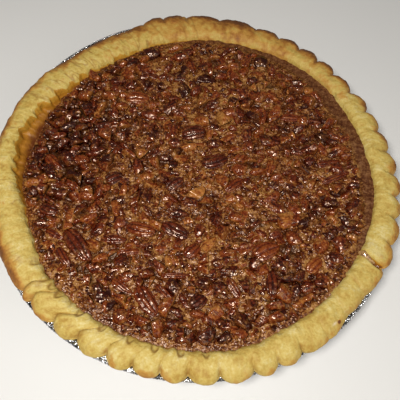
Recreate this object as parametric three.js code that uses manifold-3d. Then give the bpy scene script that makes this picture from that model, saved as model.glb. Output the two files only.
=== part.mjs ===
// A nine-inch pecan pie in its foil tin: a tin, a pinched pastry crust, a filling covered in chopped pecans,
// and the larger pecan halves that lie on top. Millimetres, +Z up, standing on z = 0 with the pie's middle
// over the origin. Azimuths are degrees anticlockwise from +X, seen from above.
import * as THREE from 'three';
import { mergeVertices } from 'three/addons/utils/BufferGeometryUtils.js';
import Module from 'manifold-3d';

const wasm = await Module();
wasm.setup();

// ---------------------------------------------------------------- driving dimensions

const gap = 0.35; // left between pieces that touch
const edgeGap = 0.6; // and along the filling's edge, where the crust is uneven
const tinSides = 52;
const tin = { baseRadius: 90, mouthRadius: 111, rimRadius: 120.5, depth: 32, sheet: 0.6, bead: 2.2 };

const shell = { floor: 4, wallClearance: 0.6, wallTop: 31.5, floorRadius: 85.5 };
const rimBed = tin.depth + 0.9; // underside of the pastry rim, just over the tin's flange

const fillingSides = 44;
const fillingReach = 104; // the widest the filling gets
const fillingLevel = 36.3; // general height of the filling
const dome = 0.9; // how much higher it is in the middle
const ripple = 0.35;
const hollow = { x: -98, y: 14, reach: 36, depth: 4.5 }; // where it sank beside the left wall
const choppedPieces = 108;
const pieceSides = 5;
const nutMargin = 4.5; // kept clear of chopped pieces along the crust
const randomSeed = 20;

// The rim was pinched by hand, so its pleats differ in width. Each stretch runs on anticlockwise from the last, and
// takes as many steps to a pleat as its outline needs.
const firstPleat = -27;
const stretches = [
  { pleats: [7.7, 8.1, 6.8, 7.4, 7.6, 7.4, 7.4, 8.5, 8.5, 7.1, 7.5], steps: 4 },
  { pleats: [7.7, 8.3, 12.6, 10.9, 7.5, 7], steps: 4 },
  { pleats: [7, 6.5, 7, 6, 7, 7, 6.5, 7], steps: 3 },
  { pleats: [10, 9, 10, 9, 9.5, 9.5], steps: 2 },
  { pleats: [3.3, 8.4, 7.7, 8.6, 7.2, 7.1, 7, 7.9, 8.6, 6.5, 6.7, 7.6], steps: 5 },
  { pleats: [8, 8, 8.4], steps: 3 }
];
const crackDepth = 4.5; // the split between the last pleat and the first

// Values that change slowly round the pie, as [azimuth, value] pairs.
const scallopDepth = [[-27, 4.4], [45, 4.6], [62, 3.2], [105, 3], [115, 0.7], [160, 0.5], [214, 0.3], [226, 4],
  [240, 5], [300, 5], [311, 0.8], [326, 0.6]];
const creaseDepth = [[-20, 1], [50, 1], [80, 1.2], [125, 0.9], [160, 0.5], [214, 0.3], [228, 1.7], [300, 1.7],
  [314, 0.6]];
const overlapStep = [[-20, 0.2], [60, 0.3], [120, 0.2], [214, 0], [228, 1.2], [300, 1.2], [314, 0.3]];
const pleatLean = [[-20, 1], [20, 1.5], [57, -0.5], [80, -2.5], [115, -1.5], [165, 0], [212, 0], [234, 5.5],
  [288, 5.5], [314, 1]];
const outerRadius = [[-27, 123.4], [0, 122.8], [18, 121.4], [40, 120.4], [52, 121.6], [70, 122], [85, 123.6],
  [104, 125], [116, 120.4], [138, 120.2], [150, 122.2], [175, 122], [215, 121], [235, 121.4], [262, 122],
  [290, 123.6], [309, 122.4], [316, 120.4], [327, 121]];
const innerRadius = [[0, 105.8], [12, 104.6], [25, 104.4], [45, 105.2], [70, 102.8], [85, 101.6], [100, 100.6],
  [112, 98.8], [125, 97.8], [140, 99.2], [152, 101.6], [163, 106], [173, 108], [183, 106.4], [198, 101],
  [208, 100.6], [218, 102.8], [255, 103.8], [286, 106.4], [300, 104.4], [330, 104.4], [345, 105.4]];
const wallRadius = [[0, 103], [20, 102.2], [50, 102.6], [90, 99.4], [125, 95.4], [150, 97.4], [170, 100.4],
  [186, 101], [204, 98.4], [225, 101], [250, 101.6], [286, 103.4], [330, 102.2]];
const crestHeight = [[0, 40.4], [60, 40.8], [110, 41.6], [150, 42.4], [185, 42.6], [222, 41.8], [270, 41.2],
  [314, 40.2]];

// The rim's section: how far across from the filling to the outer edge, and how high from its bed to its crest.
const rimSection = [
  { across: 0, rise: 0.34 },
  { across: 0.08, rise: 0.74 },
  { across: 0.25, rise: 0.96 },
  { across: 0.47, rise: 1 },
  { across: 0.72, rise: 0.92 },
  { across: 0.91, rise: 0.68 },
  { across: 1, rise: 0.36 },
  { across: 0.93, rise: 0.02 }
];

// The pecan halves and largest pieces: middle, size and the way they point. A half on its edge is the thin one.
const halves = [
  { x: -63, y: -52, long: 24, wide: 10.5, turn: -47 },
  { x: -70, y: -59, long: 14, wide: 6, turn: -49 },
  { x: -77, y: -46, long: 12, wide: 5, turn: -24 },
  { x: -83, y: -31, long: 12, wide: 8, turn: -17 },
  { x: -85, y: 1, long: 17, wide: 8, turn: -36 },
  { x: -48, y: -8, long: 11, wide: 8, turn: 27 },
  { x: -40, y: 50, long: 15, wide: 9, turn: 4 },
  { x: -29, y: -40, long: 17, wide: 9, turn: -12 },
  { x: -9, y: -40, long: 18, wide: 8.5, turn: -23 },
  { x: -44, y: -47, long: 16, wide: 6, turn: -2 },
  { x: -34, y: -54, long: 14, wide: 5, turn: 9 },
  { x: -7, y: -66, long: 17, wide: 4, turn: 4 },
  { x: 1, y: -51, long: 11, wide: 8, turn: 40 },
  { x: -22, y: -81, long: 19, wide: 9.5, turn: -53 },
  { x: -36, y: -74, long: 13, wide: 5.5, turn: -29 },
  { x: -12, y: -76, long: 14, wide: 5.5, turn: -39 },
  { x: 6, y: -80, long: 11, wide: 8, turn: 39 },
  { x: 25, y: -72, long: 15, wide: 5.5, turn: -59 },
  { x: 46, y: -67, long: 16, wide: 8.5, turn: 97 },
  { x: 42, y: -48, long: 17, wide: 11, turn: 26 },
  { x: 69, y: -55, long: 12, wide: 8, turn: 52 },
  { x: 57, y: 42, long: 13, wide: 6, turn: 4 },
  { x: 80, y: 11, long: 15, wide: 5, turn: 13 },
  { x: 83, y: 1, long: 20, wide: 5, turn: 27 },
  { x: -3, y: 26, long: 15, wide: 11, turn: 10 },
  { x: 11, y: 7, long: 17, wide: 10, turn: 21 },
  { x: 23, y: -8, long: 14, wide: 7, turn: 41 },
  { x: -12, y: -10, long: 12, wide: 8, turn: 37 }
];
const halfThickness = 0.62; // of its width
const halfShown = 0.18; // how far a half's middle stands over the filling, of its thickness

const foil = new THREE.MeshStandardMaterial({ color: 0xc9cbce, roughness: 0.3, metalness: 1 });
const pastry = new THREE.MeshStandardMaterial({ color: 0xcdb160, roughness: 0.75, metalness: 0 });
const custard = new THREE.MeshStandardMaterial({ color: 0x6b4027, roughness: 0.3, metalness: 0 });
const nut = new THREE.MeshStandardMaterial({ color: 0x5a2a1b, roughness: 0.25, metalness: 0 });

// ---------------------------------------------------------------- helpers

const radians = THREE.MathUtils.degToRad;
const { lerp, smoothstep } = THREE.MathUtils;

// A repeatable random number from 0 to 1.
function randomSource(seed) {
  let state = seed;
  return () => {
    state = (state + 0x6d2b79f5) | 0;
    let mixed = Math.imul(state ^ (state >>> 15), 1 | state);
    mixed = (mixed + Math.imul(mixed ^ (mixed >>> 7), 61 | mixed)) ^ mixed;
    return ((mixed ^ (mixed >>> 14)) >>> 0) / 4294967296;
  };
}

// The value at an azimuth, eased from each listed azimuth to the next and on round to the first.
function around(pairs, azimuth) {
  const start = pairs[0][0];
  const turned = start + ((((azimuth - start) % 360) + 360) % 360);
  const closed = [...pairs, [start + 360, pairs[0][1]]];
  const next = closed.findIndex(([at], index) => index > 0 && turned <= at);
  const [fromAt, fromValue] = closed[next - 1];
  const [toAt, toValue] = closed[next];
  return lerp(fromValue, toValue, smoothstep(turned, fromAt, toAt));
}

// A lathed solid about +Z from a closed or axis-to-axis profile of [radius, height] pairs.
function lathe(profile, sides) {
  const points = profile.map(([radius, height]) => new THREE.Vector2(radius, height));
  return new THREE.LatheGeometry(points, sides).rotateX(Math.PI / 2);
}

// Moves every vertex of a geometry by a function of its position.
function moveVertices(geometry, move) {
  const positions = geometry.attributes.position;
  const point = new THREE.Vector3();
  for (let index = 0; index < positions.count; index += 1) {
    point.fromBufferAttribute(positions, index);
    move(point, index);
    positions.setXYZ(index, point.x, point.y, point.z);
  }
  return geometry;
}

// Leaves only the positions, with shared corners merged.
function welded(geometry) {
  const bare = geometry.clone();
  bare.deleteAttribute('normal');
  bare.deleteAttribute('uv');
  return mergeVertices(bare, 1e-4);
}

function toSolid(geometry) {
  const merged = welded(geometry);
  const vertProperties = new Float32Array(merged.attributes.position.array);
  const triVerts = new Uint32Array(merged.index.array);
  return new wasm.Manifold(new wasm.Mesh({ numProp: 3, vertProperties, triVerts }));
}

function toGeometry(solid) {
  const mesh = solid.getMesh();
  const geometry = new THREE.BufferGeometry();
  geometry.setAttribute('position', new THREE.BufferAttribute(mesh.vertProperties, 3));
  geometry.setIndex(new THREE.BufferAttribute(mesh.triVerts, 1));
  geometry.computeVertexNormals();
  return geometry;
}

function namedMesh(name, geometry, material) {
  const mesh = new THREE.Mesh(geometry, material);
  mesh.name = name;
  return mesh;
}

// ---------------------------------------------------------------- the tin

// Pressed foil: a flat base, a sloping wall, a flat flange and a bead curled down round its edge.
function makeTin() {
  const { baseRadius, mouthRadius, rimRadius, depth, sheet, bead } = tin;
  const flangeEnd = rimRadius - bead;
  const profile = [
    [0, 0],
    [baseRadius, 0],
    [mouthRadius + sheet, depth - sheet],
    [flangeEnd, depth - sheet],
    [flangeEnd + 0.3, depth - bead],
    [rimRadius - 0.4, depth - bead],
    [rimRadius, depth - bead / 2],
    [rimRadius - 0.5, depth + 0.1],
    [flangeEnd + 0.5, depth + 0.3],
    [flangeEnd, depth],
    [mouthRadius, depth],
    [baseRadius - sheet, sheet],
    [0, sheet]
  ];
  return lathe(profile, tinSides);
}

// ---------------------------------------------------------------- the crust

// Every station round the rim: its azimuth at the outer edge, and where it lies in its pleat from 0 to 1. The steps
// crowd towards the notches between pleats, where the outline turns sharpest.
function rimStations() {
  const stations = [];
  let azimuth = firstPleat;
  for (const stretch of stretches) {
    for (const width of stretch.pleats) {
      for (let step = 0; step < stretch.steps; step += 1) {
        const even = step / stretch.steps;
        const inPleat = even - (0.35 * Math.sin(4 * Math.PI * even)) / (4 * Math.PI);
        const split = azimuth === firstPleat && step === 0;
        stations.push({ azimuth: azimuth + inPleat * width, inPleat, split });
      }
      azimuth += width;
    }
  }
  return stations;
}

// One at the notch between two pleats, falling to nothing on the pleat's back.
function notch(inPleat) {
  return 1 - Math.sin(Math.PI * inPleat) ** 0.6;
}

// Where a station's line meets the rim's section. Each pleat ends outside in a scallop, leans as it runs in, and
// lies over the one before it. The crease between the two fades halfway in, and only the split runs right across.
function rimPoint({ azimuth: outerAzimuth, inPleat, split }, { across, rise }) {
  const azimuth = outerAzimuth + around(pleatLean, outerAzimuth) * smoothstep(1 - across, 0, 1);
  const outer = around(outerRadius, outerAzimuth) - around(scallopDepth, outerAzimuth) * notch(inPleat);
  const radius = lerp(around(innerRadius, azimuth), outer, across);
  const onTop = rise > 0.5 ? Math.sin(Math.PI * Math.min(across, 0.9)) : 0;
  const fading = smoothstep(across, 0.3, 0.8);
  const crease = split ? crackDepth : around(creaseDepth, outerAzimuth) * notch(inPleat) * fading;
  const overlap = around(overlapStep, outerAzimuth) * (0.5 - inPleat) * fading;
  const height = lerp(rimBed, around(crestHeight, azimuth), rise) + onTop * (overlap - crease);
  return { azimuth, radius, height };
}

// The pastry shell: floor, sloping wall and pinched rim in one closed profile, turned and then moved station by
// station to the real outline.
function makeCrust() {
  const stations = rimStations();
  const floorTop = tin.sheet + gap + shell.floor;
  const below = [
    [0, floorTop],
    [shell.floorRadius, floorTop],
    [around(wallRadius, 0), shell.wallTop]
  ];
  const beneath = [
    [tin.mouthRadius - shell.wallClearance, rimBed - 0.1],
    [tin.baseRadius - tin.sheet - shell.wallClearance, tin.sheet + gap],
    [0, tin.sheet + gap]
  ];
  const rim = rimSection.map(({ across, rise }) => [
    lerp(around(innerRadius, 0), around(outerRadius, 0), across),
    lerp(rimBed, around(crestHeight, 0), rise)
  ]);
  const profile = [...below, ...rim, ...beneath];
  const wallIndex = below.length - 1;
  const geometry = lathe(profile.reverse(), stations.length);
  const rings = profile.length;
  return moveVertices(geometry, (point, index) => {
    const station = stations[Math.floor(index / rings) % stations.length];
    const place = rings - 1 - (index % rings);
    const section = rimSection[place - below.length];
    let { azimuth } = station;
    let radius = Math.hypot(point.x, point.y);
    if (section) {
      ({ azimuth, radius, height: point.z } = rimPoint(station, section));
    } else if (place <= wallIndex) {
      azimuth += around(pleatLean, azimuth);
      radius = place === wallIndex ? around(wallRadius, azimuth) : radius;
    }
    point.x = radius * Math.cos(radians(azimuth));
    point.y = radius * Math.sin(radians(azimuth));
  });
}

// The radius of the crust's inner face at a height, where the filling meets it.
function innerFace(azimuth, height) {
  const wall = around(wallRadius, azimuth);
  if (height <= shell.wallTop) {
    const floorTop = tin.sheet + gap + shell.floor;
    return lerp(shell.floorRadius, wall, (height - floorTop) / (shell.wallTop - floorTop));
  }
  const edgeHeight = lerp(rimBed, around(crestHeight, azimuth), rimSection[0].rise);
  const share = Math.min(1, (height - shell.wallTop) / (edgeHeight - shell.wallTop));
  return lerp(wall, around(innerRadius, azimuth), share);
}

// ---------------------------------------------------------------- the filling and its chopped pecans

// The filling's height before any nuts: nearly level, a little domed, sunk beside the left wall.
function surfaceHeight(x, y) {
  const outward = Math.min(1, Math.hypot(x, y) / fillingReach);
  const domed = dome * Math.cos((outward * Math.PI) / 2);
  const sunk = hollow.depth * Math.exp(-(((x - hollow.x) ** 2 + (y - hollow.y) ** 2) / hollow.reach ** 2));
  const rippled = ripple * Math.sin(x * 0.11 + 1) * Math.cos(y * 0.13 - 0.5);
  return fillingLevel + domed - sunk + rippled;
}

// The radius at which the filling's surface meets the crust.
function fillingEdge(azimuth) {
  const roughly = innerFace(azimuth, fillingLevel);
  const level = surfaceHeight(roughly * Math.cos(radians(azimuth)), roughly * Math.sin(radians(azimuth)));
  return innerFace(azimuth, level);
}

function makeCore() {
  const bottom = tin.sheet + gap + shell.floor + gap;
  const shares = [1, 0.9, 0.72, 0.5, 0.25];
  const profile = [
    [0, bottom],
    [shell.floorRadius - gap, bottom],
    [fillingReach, shell.wallTop],
    ...shares.map((share) => [fillingReach * share, fillingLevel]),
    [0, fillingLevel]
  ];
  const wallIndex = 2;
  const geometry = lathe(profile, fillingSides);
  const rings = profile.length;
  return moveVertices(geometry, (point, index) => {
    const place = index % rings;
    const azimuth = THREE.MathUtils.radToDeg(Math.atan2(point.y, point.x));
    let radius = Math.hypot(point.x, point.y);
    if (place === wallIndex) {
      radius = around(wallRadius, azimuth) - edgeGap;
    } else if (place > wallIndex && place < rings - 1) {
      radius = (fillingEdge(azimuth) - edgeGap) * shares[place - wallIndex - 1];
    }
    point.x = radius * Math.cos(radians(azimuth));
    point.y = radius * Math.sin(radians(azimuth));
    if (place > wallIndex) {
      point.z = surfaceHeight(point.x, point.y);
    }
  });
}

// True if a spot lies on one of the placed halves, with some room round it.
function nearHalf(x, y, room) {
  return halves.some((half) => {
    const along = new THREE.Vector2(x - half.x, y - half.y).rotateAround(new THREE.Vector2(), -radians(half.turn));
    return Math.hypot(along.x / (half.long / 2 + room), along.y / (half.wide / 2 + room)) < 1;
  });
}

// Chopped pieces, spread evenly in a sunflower spiral with some scatter, each an uneven angular lump.
function makeChoppedPieces() {
  const goldenAngle = Math.PI * (3 - Math.sqrt(5));
  const pieces = [];
  for (let count = 0; count < choppedPieces; count += 1) {
    const random = randomSource(randomSeed * 1000 + count);
    const long = lerp(9, 17, random() ** 1.2);
    const wide = long * lerp(0.55, 0.9, random());
    const high = lerp(4, 6.5, random());
    const azimuth = count * goldenAngle + lerp(-0.03, 0.03, random());
    const reach = fillingEdge(THREE.MathUtils.radToDeg(azimuth)) - nutMargin;
    const out = Math.min(reach * Math.sqrt((count + random()) / choppedPieces), reach - long / 2);
    const x = out * Math.cos(azimuth);
    const y = out * Math.sin(azimuth);
    const tilt = new THREE.Euler(lerp(-0.2, 0.2, random()), lerp(-0.2, 0.2, random()), lerp(0, Math.PI, random()));
    const place = new THREE.Matrix4().compose(
      new THREE.Vector3(x, y, surfaceHeight(x, y) + lerp(-0.4, 0.6, random())),
      new THREE.Quaternion().setFromEuler(tilt),
      new THREE.Vector3(long / 2, wide / 2, high / 2)
    );
    const cutAcross = random() < 0.5;
    const lump = cutAcross
      ? new THREE.CylinderGeometry(0.8, 1, 1.8, pieceSides, 1)
      : new THREE.SphereGeometry(1.1, pieceSides, 3);
    const corners = welded(lump.rotateZ(-Math.PI / 2).rotateX(Math.PI / (2 * pieceSides)));
    moveVertices(corners, (corner) => corner.multiplyScalar(lerp(0.8, 1.15, random())));
    if (!nearHalf(x, y, long * 0.3)) {
      pieces.push(toSolid(corners.applyMatrix4(place)));
    }
  }
  return pieces;
}

// ---------------------------------------------------------------- the pecan halves

// A half nut along X, grown by a margin: domed above with a groove down its middle, flatter below, and a little
// narrower at one end.
function halfNut({ long, wide }, margin) {
  const steps = long > 13 ? 5 : 4;
  const onEdge = wide < long * 0.27;
  const high = wide * (onEdge ? 1.3 : halfThickness);
  const geometry = welded(new THREE.SphereGeometry(1, 8, steps).rotateZ(-Math.PI / 2));
  return moveVertices(geometry, (point) => {
    const groove = point.z > 0.5 && Math.abs(point.y) < 0.1 ? 0.72 : 1;
    const taper = 1 - 0.16 * point.x;
    const flat = point.z < 0 ? 0.75 : 1;
    point.x *= long / 2 + margin;
    point.y *= (wide / 2) * taper + margin;
    point.z = point.z * (high / 2) * taper * flat * groove + Math.sign(point.z) * margin;
  });
}

// The half in its place on the filling.
function placedHalf(half, index, margin) {
  const random = randomSource(randomSeed + index);
  const tilt = new THREE.Euler(lerp(-0.2, 0.2, random()), lerp(-0.12, 0.12, random()), radians(half.turn), 'ZYX');
  const lift = half.wide * halfThickness * halfShown;
  const place = new THREE.Matrix4().compose(
    new THREE.Vector3(half.x, half.y, surfaceHeight(half.x, half.y) + lift),
    new THREE.Quaternion().setFromEuler(tilt),
    new THREE.Vector3(1, 1, 1)
  );
  return halfNut(half, margin).applyMatrix4(place);
}

// The core and its chopped pieces in one solid, with a socket under each half. Crumbs that the sockets cut loose
// are dropped.
function makeFilling() {
  let filling = toSolid(makeCore());
  for (const piece of makeChoppedPieces()) {
    filling = filling.add(piece);
  }
  halves.forEach((half, index) => {
    filling = filling.subtract(toSolid(placedHalf(half, index, gap)));
  });
  const bodies = filling.decompose().sort((one, other) => other.volume() - one.volume());
  return toGeometry(bodies[0]);
}

// ---------------------------------------------------------------- the pie

const pie = new THREE.Group();
pie.add(namedMesh('foil_tin', makeTin(), foil));
pie.add(namedMesh('crust', makeCrust(), pastry));
pie.add(namedMesh('filling', makeFilling(), custard));
halves.forEach((half, index) => {
  const name = `pecan_half_${String(index + 1).padStart(2, '0')}`;
  pie.add(namedMesh(name, placedHalf(half, index, 0), nut));
});

// The hand-pinched outline isn't quite round, so the pie is moved to stand with its box centred on the origin.
const box = new THREE.Box3().setFromObject(pie);
pie.position.set(-(box.min.x + box.max.x) / 2, -(box.min.y + box.max.y) / 2, -box.min.z);

export default pie;
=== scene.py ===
"""A nine-inch pecan pie in its foil tin: pinched pastry crust, glossy custard and pecans, halved and chopped.

Shapes are worked out in millimetres round the tin's axis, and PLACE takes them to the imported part's frame:
metres, +Z up, standing on z = 0. Azimuths are degrees anticlockwise from +X. A list that holds pairs of
azimuth and value gives something that changes slowly round the pie.
"""

import bisect
import itertools
import math
import random
from types import SimpleNamespace

import bmesh
import bpy
import numpy as np
from mathutils import Euler, Matrix, Vector, noise


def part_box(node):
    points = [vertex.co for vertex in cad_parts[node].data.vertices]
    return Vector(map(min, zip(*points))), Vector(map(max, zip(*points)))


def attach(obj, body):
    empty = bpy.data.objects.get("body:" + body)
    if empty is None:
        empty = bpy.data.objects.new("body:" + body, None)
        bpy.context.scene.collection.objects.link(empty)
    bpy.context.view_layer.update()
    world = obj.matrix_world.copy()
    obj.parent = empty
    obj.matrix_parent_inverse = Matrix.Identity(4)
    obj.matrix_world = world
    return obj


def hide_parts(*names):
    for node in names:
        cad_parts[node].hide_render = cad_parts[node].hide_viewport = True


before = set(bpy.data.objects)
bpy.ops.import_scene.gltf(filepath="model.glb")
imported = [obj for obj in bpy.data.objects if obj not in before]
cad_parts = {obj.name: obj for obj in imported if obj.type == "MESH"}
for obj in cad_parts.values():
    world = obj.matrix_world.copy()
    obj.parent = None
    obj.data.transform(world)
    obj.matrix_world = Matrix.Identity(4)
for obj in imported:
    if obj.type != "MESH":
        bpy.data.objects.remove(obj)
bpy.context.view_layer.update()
scene = bpy.context.scene

# ---------------------------------------------------------------- sizes

MM = 0.001
tin_low, tin_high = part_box("foil_tin")
AXIS = Vector(((tin_low.x + tin_high.x) / 2, (tin_low.y + tin_high.y) / 2, 0))
PLACE = Matrix.Translation(AXIS) @ Matrix.Scale(MM, 4)

TIN_RIM = (tin_high.x - tin_low.x) / 2 / MM
TIN_BASE = 90
TIN_MOUTH = 111
TIN_DEPTH = 32
TIN_SHEET = 0.6
TIN_BEAD = 2.2
CRIMP_PITCH = 1.75  # one crimp of the tin's edge to the next
CRIMP_STEPS = 4  # of the mesh, in one crimp
CRIMPS_TO_A_FLUTE = 4  # the flutes down its wall are broader

GAP = 0.35
SHELL_FLOOR = 4
SHELL_CLEARANCE = 0.6
FLOOR_UNDER = TIN_SHEET + GAP
FLOOR_TOP = FLOOR_UNDER + SHELL_FLOOR
FLOOR_RADIUS = 85.5
WALL_TOP = 31.5
RIM_BED = TIN_DEPTH + 0.9

# The crust as it is spun, before it is moved to the real outline: the radius and height that its wall, the
# face beside the filling and its rim reach.
SPUN_WALL = (103, WALL_TOP)
SPUN_FACE = (105, 36)
SPUN_RIM = (121, 41)
WALL_STEPS = 6
FACE_STEPS = 5
SECTION_STEPS = 6  # from one point of the rim's section to the next
CRUST_STEPS = 1440  # round the pie

FILLING_REACH = 104
FILLING_LEVEL = 36.3
DOME = 0.9
RIPPLE = 0.35
HOLLOW = Vector((-98, 14))
HOLLOW_REACH = 36
HOLLOW_DEPTH = 4.5
CUSTARD_STEPS = 720
CUSTARD_RINGS = 110

# The rim's pleats, from the crack on anticlockwise, each by its width in degrees.
FIRST_PLEAT = -27
PLEATS = (
    7.7, 8.1, 6.8, 7.4, 7.6, 7.4, 7.4, 8.5, 8.5, 7.1, 7.5,
    7.7, 8.3, 12.6, 10.9, 7.5, 7,
    7, 6.5, 7, 6, 7, 7, 6.5, 7,
    10, 9, 10, 9, 9.5, 9.5,
    3.3, 8.4, 7.7, 8.6, 7.2, 7.1, 7, 7.9, 8.6, 6.5, 6.7, 7.6,
    8, 8, 8.4,
)
CREASE_WIDTH = 1.1
CRACK_DEPTH = 4.5
CRACK_WIDTH = 1.45
CRACK_SYRUP = (-0.02, 0.72)  # where across the rim the syrup in the crack starts and ends
SYRUP_WIDTH = 1.9  # half the strand's width, and half its height
SYRUP_HEIGHT = 0.8
SYRUP_SUNK = 2.3  # how far below the rim's crest it starts
BURN = (313.2, 118.2)  # azimuth and radius of the one burnt spot on the rim
BURN_SIZE = (0.45, 0.75)  # degrees round and millimetres out
CHIP = (311.8, 117.4)  # the pale chip beside it
CHIP_SIZE = (0.7, 0.55)

# The radii at which lengths along the rim are measured: at its inner edge, pinch marks, notches and crest.
EDGE_LINE = 105
PINCH_LINE = 106
NOTCH_LINE = 110
CREST_LINE = 115

SCALLOP_DEPTH = (
    (-27, 4.4), (45, 4.6), (62, 3.2), (105, 3), (115, 0.7), (160, 0.5), (214, 0.3), (226, 4), (240, 5),
    (300, 5), (311, 0.8), (326, 0.6),
)
CREASE_DEPTH = (
    (-20, 1), (50, 1), (80, 1.2), (125, 0.9), (160, 0.5), (214, 0.3), (228, 1.7), (262, 1.6), (296, 1),
    (314, 0.6),
)
OVERLAP_STEP = ((-20, 0.2), (60, 0.3), (120, 0.2), (214, 0), (228, 1), (250, 0.5), (275, 0.3), (314, 0.25))
PLEAT_LEAN = (
    (-20, 1), (20, 1.5), (57, -0.5), (80, -2.5), (115, -1.5), (165, 0), (212, 0), (234, 5.5), (252, 3),
    (272, 1.2), (314, 1),
)
OUTER_RADIUS = (
    (-27, 123.4), (0, 122.8), (18, 121.4), (40, 120.4), (52, 121.6), (70, 122), (85, 123.6), (104, 124.8),
    (116, 118.9), (138, 118.5), (151, 122), (175, 122), (215, 121), (235, 121.4), (262, 122), (290, 123.6),
    (309, 122.4), (316, 119.8), (322, 119.6), (329, 121.6),
)
INNER_RADIUS = (
    (0, 105.8), (12, 104.6), (25, 104.4), (45, 105.2), (70, 102.8), (85, 101.6), (100, 100.6), (112, 98.8),
    (125, 97.8), (140, 99.2), (152, 101.6), (163, 106), (173, 108), (183, 106.4), (198, 101), (208, 100.6),
    (218, 102.8), (255, 103.8), (286, 106.4), (300, 104.4), (330, 104.4), (345, 105.4),
)
WALL_RADIUS = (
    (0, 103), (20, 102.2), (50, 102.6), (90, 99.4), (125, 95.4), (150, 97.4), (170, 100.4), (186, 101),
    (204, 98.4), (225, 101), (250, 101.6), (286, 103.4), (330, 102.2),
)
CREST_HEIGHT = (
    (0, 40.4), (60, 40.8), (110, 41.6), (150, 42.4), (185, 42.6), (222, 41.8), (270, 41.2), (314, 40.2),
)

# How strongly each stretch of the rim is pinched, torn, folded, lined, browned and soaked with syrup, and
# what share of its width the syrup has reached.
PINCH_DEPTH = ((-20, 0), (214, 0), (219, 1.5), (236, 1.5), (243, 1.2), (274, 1.2), (279, 0))
PINCH_OFFSET = 4.7  # degrees from a notch to its pinch mark
PINCH_SIZE = (2.3, 5)  # how far the mark reaches to each side, and out from the filling
RAGGED_EDGE = (
    (-20, 0.5), (100, 0.6), (122, 1.6), (140, 1.2), (175, 1.2), (190, 1), (206, 0.6), (230, 1), (300, 0.9),
)
TORN_EDGE = ((-20, 0), (116, 0), (130, 1.4), (146, 2.8), (178, 2.6), (190, 0.6), (206, 0))
TEAR_PITCH = 9
FOLD_STEP = (
    (-20, 0), (210, 0), (219, 1.9), (234, 1.7), (247, 0.6), (262, 0.15), (300, 0.15), (311, 0.8), (326, 0.8),
    (333, 0),
)
SOAKED_EDGE = (
    (-20, 0), (98, 0), (118, 0.26), (140, 0.3), (186, 0.3), (196, 0.24), (212, 0.06), (235, 0.2), (262, 0.23),
    (300, 0.18), (318, 0),
)
SOAKED_REACH = (
    (-20, 0.12), (112, 0.12), (126, 0.02), (150, 0.04), (162, 0.1), (176, 0.12), (187, 0.04), (206, 0.01),
    (222, 0.12),
)
FINE_RIDGES = (
    (-20, 0.06), (60, 0.1), (112, 0.28), (130, 0.36), (165, 0.2), (205, 0.24), (226, 0.2), (250, 0.1),
    (300, 0.08),
)
EDGE_BROWNING = (
    (-20, 0.42), (20, 0.5), (60, 0.58), (100, 0.48), (125, 0.5), (160, 0.46), (200, 0.62), (220, 0.55),
    (240, 0.26), (305, 0.25),
)
CREST_BROWNING = (
    (-20, 0.1), (25, 0.2), (50, 0.4), (75, 0.5), (110, 0.4), (140, 0.25), (200, 0.18), (240, 0.04),
    (300, 0.1),
)
ALONG_THE_RIM = {
    "crease": CREASE_DEPTH,
    "fold": FOLD_STEP,
    "lean": PLEAT_LEAN,
    "pinch": PINCH_DEPTH,
    "ragged": RAGGED_EDGE,
    "torn": TORN_EDGE,
    "ridges": FINE_RIDGES,
    "edge_browning": EDGE_BROWNING,
    "crest_browning": CREST_BROWNING,
}

# How far the tin's edge has been bent out and up.
RIM_BEND = (
    (-20, 0), (100, 0), (117, 1.7), (148, 1.7), (162, 0), (212, 0), (222, 0.9), (245, 0.5), (262, 0.3),
    (300, 0.3), (310, 1.3), (325, 1.3), (332, 0),
)
RIM_LIFT = ((-20, 0), (104, 0), (119, 3.2), (146, 3.2), (160, 0))

# The rim's section: how far across it from the filling outwards, and how high from its bed to its crest.
RIM_SECTION = (
    (0, 0.34), (0.08, 0.74), (0.25, 0.96), (0.47, 1), (0.72, 0.92), (0.91, 0.68), (1, 0.36), (0.93, 0.02),
)

# Pecan halves and largest pieces: x, y, length, width, the way they point, and how light they are, up to 1.
HALVES = (
    (-63, -52, 24, 10.5, -47, 0.3), (-70, -59, 14, 6, -49, 0.34), (-77, -46, 12, 5, -24, 0.4),
    (-83, -31, 12, 8, -17, 0.3), (-85, 1, 17, 8, -36, 0.42), (-48, -8, 11, 8, 27, 0.2),
    (-40, 50, 15, 9, 4, 0.58), (-29, -40, 17, 9, -12, 0.48), (-9, -40, 18, 8.5, -23, 0.22),
    (-44, -47, 16, 6, -2, 0.34), (-34, -54, 14, 5, 9, 0.46), (-7, -66, 17, 4, 4, 0.46),
    (1, -51, 11, 8, 40, 0.44), (-22, -81, 19, 9.5, -53, 0.38), (-36, -74, 13, 5.5, -29, 0.42),
    (-12, -76, 14, 5.5, -39, 0.36), (6, -80, 11, 8, 39, 0.14), (25, -72, 15, 5.5, -59, 0.38),
    (46, -67, 16, 8.5, 97, 0.25), (42, -48, 17, 11, 26, 0.5), (69, -55, 12, 8, 52, 0.62),
    (57, 42, 13, 6, 4, 0.4), (80, 11, 15, 5, 13, 0.36), (83, 1, 20, 5, 27, 0.42),
    (-3, 26, 15, 11, 10, 0.24), (11, 7, 17, 10, 21, 0.25), (23, -8, 14, 7, 41, 0.46),
    (-12, -10, 12, 8, 37, 0.25),
)
HALF_THICKNESS = 0.62  # a half's height by its width
HALF_SHOWN = 0.18  # how far its middle lies above the filling, by its height
ON_EDGE = 0.27  # a half narrower than this share of its length stands on edge, with its own height by width
EDGE_THICKNESS = 1.3
CHOPPED_PIECES = 108
CHOPPED_SHAPES = 16  # different shapes among the larger chopped pieces, and in each smaller kind
SMALL_SHAPES = 24
MEDIUM_PIECES = 600
CRUMBS = 600
MEDIUM_SIZES = (5.5, 12)
CRUMB_SIZES = (2.4, 5)
SHAPE_STEPS = {"half": (56, 26), "large": (26, 18), "medium": (14, 10), "crumb": (9, 6)}  # round and along
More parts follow.
